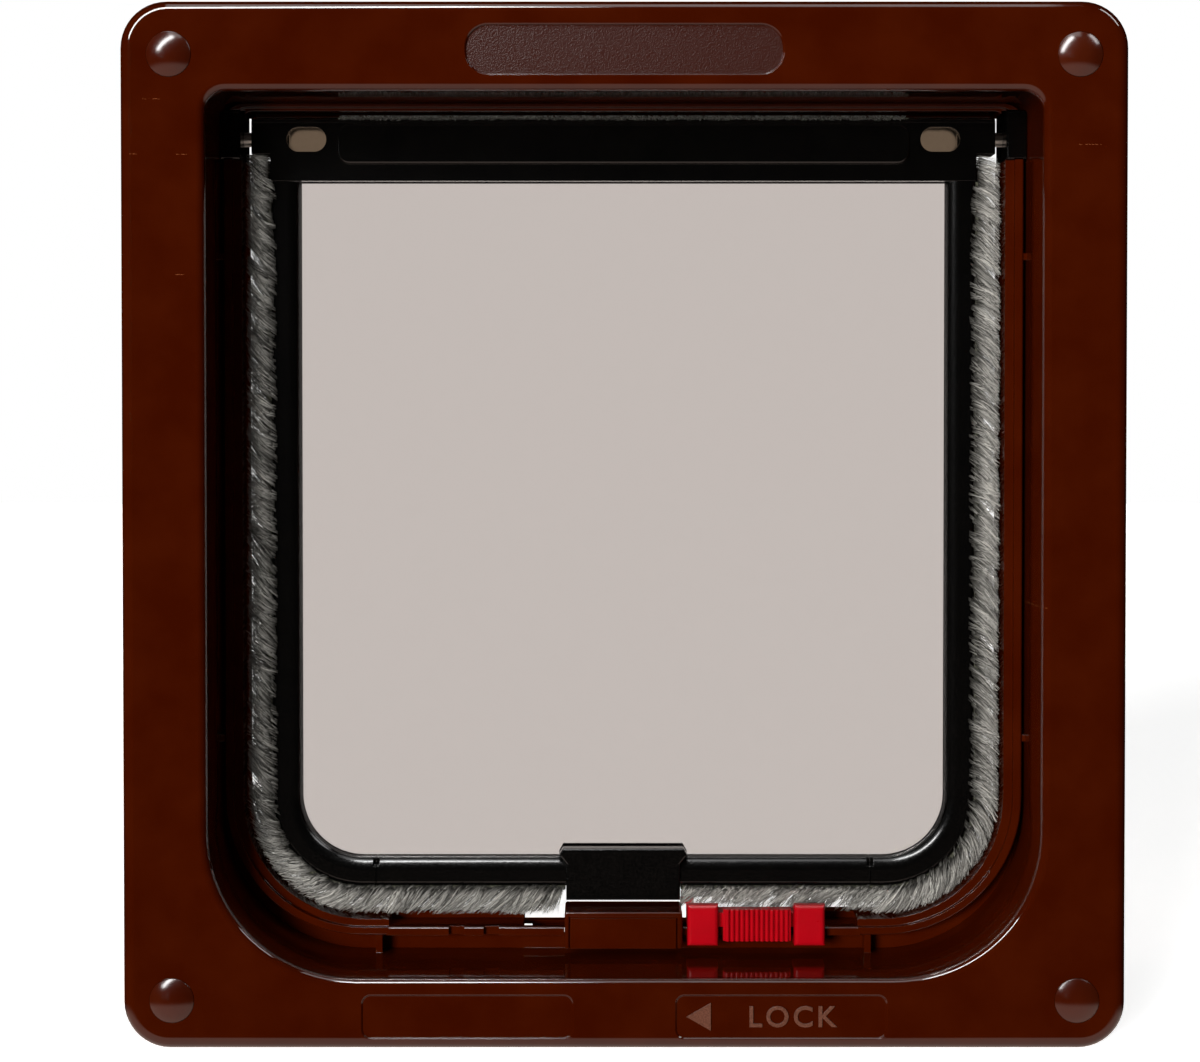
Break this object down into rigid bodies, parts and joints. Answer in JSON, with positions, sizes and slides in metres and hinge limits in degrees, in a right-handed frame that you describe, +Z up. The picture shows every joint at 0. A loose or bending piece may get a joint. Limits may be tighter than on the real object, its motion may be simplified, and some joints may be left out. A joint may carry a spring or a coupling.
{
  "type": "cat flap",
  "caption": "Cat flap for a door: brown frames each side, a smoked clear two-way flap with pile seal and magnets, and a red sliding lock catch.",
  "frame": {"origin": "middle of the bounding box's underside, on the surface that the frames stand on", "axes": "+X to the right seen from the room, +Y from the room to the outside, +Z up"},
  "size_m": [0.236, 0.0598, 0.246],
  "materials": {
    "brown_plastic": "gloss",
    "smoked_clear": "polished",
    "black_plastic": "gloss",
    "red_plastic": "satin",
    "grey_pile": "matte",
    "strip_backing": "matte",
    "steel": "satin",
    "ferrite": "matte"
  },
  "bodies": {
    "frame": {"inner_frame": "brown_plastic", "outer_frame": "brown_plastic", "screw_cap_bottom_left": "brown_plastic", "screw_cap_bottom_right": "brown_plastic", "screw_cap_top_left": "brown_plastic", "screw_cap_top_right": "brown_plastic", "fixing_screws": "steel", "frame_magnet_cover": "brown_plastic", "frame_magnet": "ferrite", "pivot_block_left": "black_plastic", "pivot_block_right": "black_plastic"},
    "flap": {"flap_panel": "smoked_clear", "flap_hinge_bar": "black_plastic", "hinge_pin_left": "steel", "hinge_pin_right": "steel", "flap_rim_left": "black_plastic", "flap_rim_right": "black_plastic", "flap_rim_bottom": "black_plastic", "magnet_housing_front": "black_plastic", "magnet_housing_back": "black_plastic", "flap_magnet": "ferrite", "seal_strip_left": "strip_backing", "seal_strip_right": "strip_backing", "seal_strip_top": "strip_backing", "pile_left": "grey_pile", "pile_right": "grey_pile", "pile_top": "grey_pile"},
    "catch": {"lock_catch": "red_plastic"}
  },
  "joints": [
    {"name": "flap_swing", "type": "hinge", "parent": "frame", "child": "flap", "pos_m": [0, -0.0001, 0.217], "axis": [1, 0, 0], "range_deg": [-90, 90]},
    {"name": "catch_slide", "type": "slide", "parent": "frame", "child": "catch", "axis": [1, 0, 0], "range_m": [-0.001, 0.0075]}
  ]
}
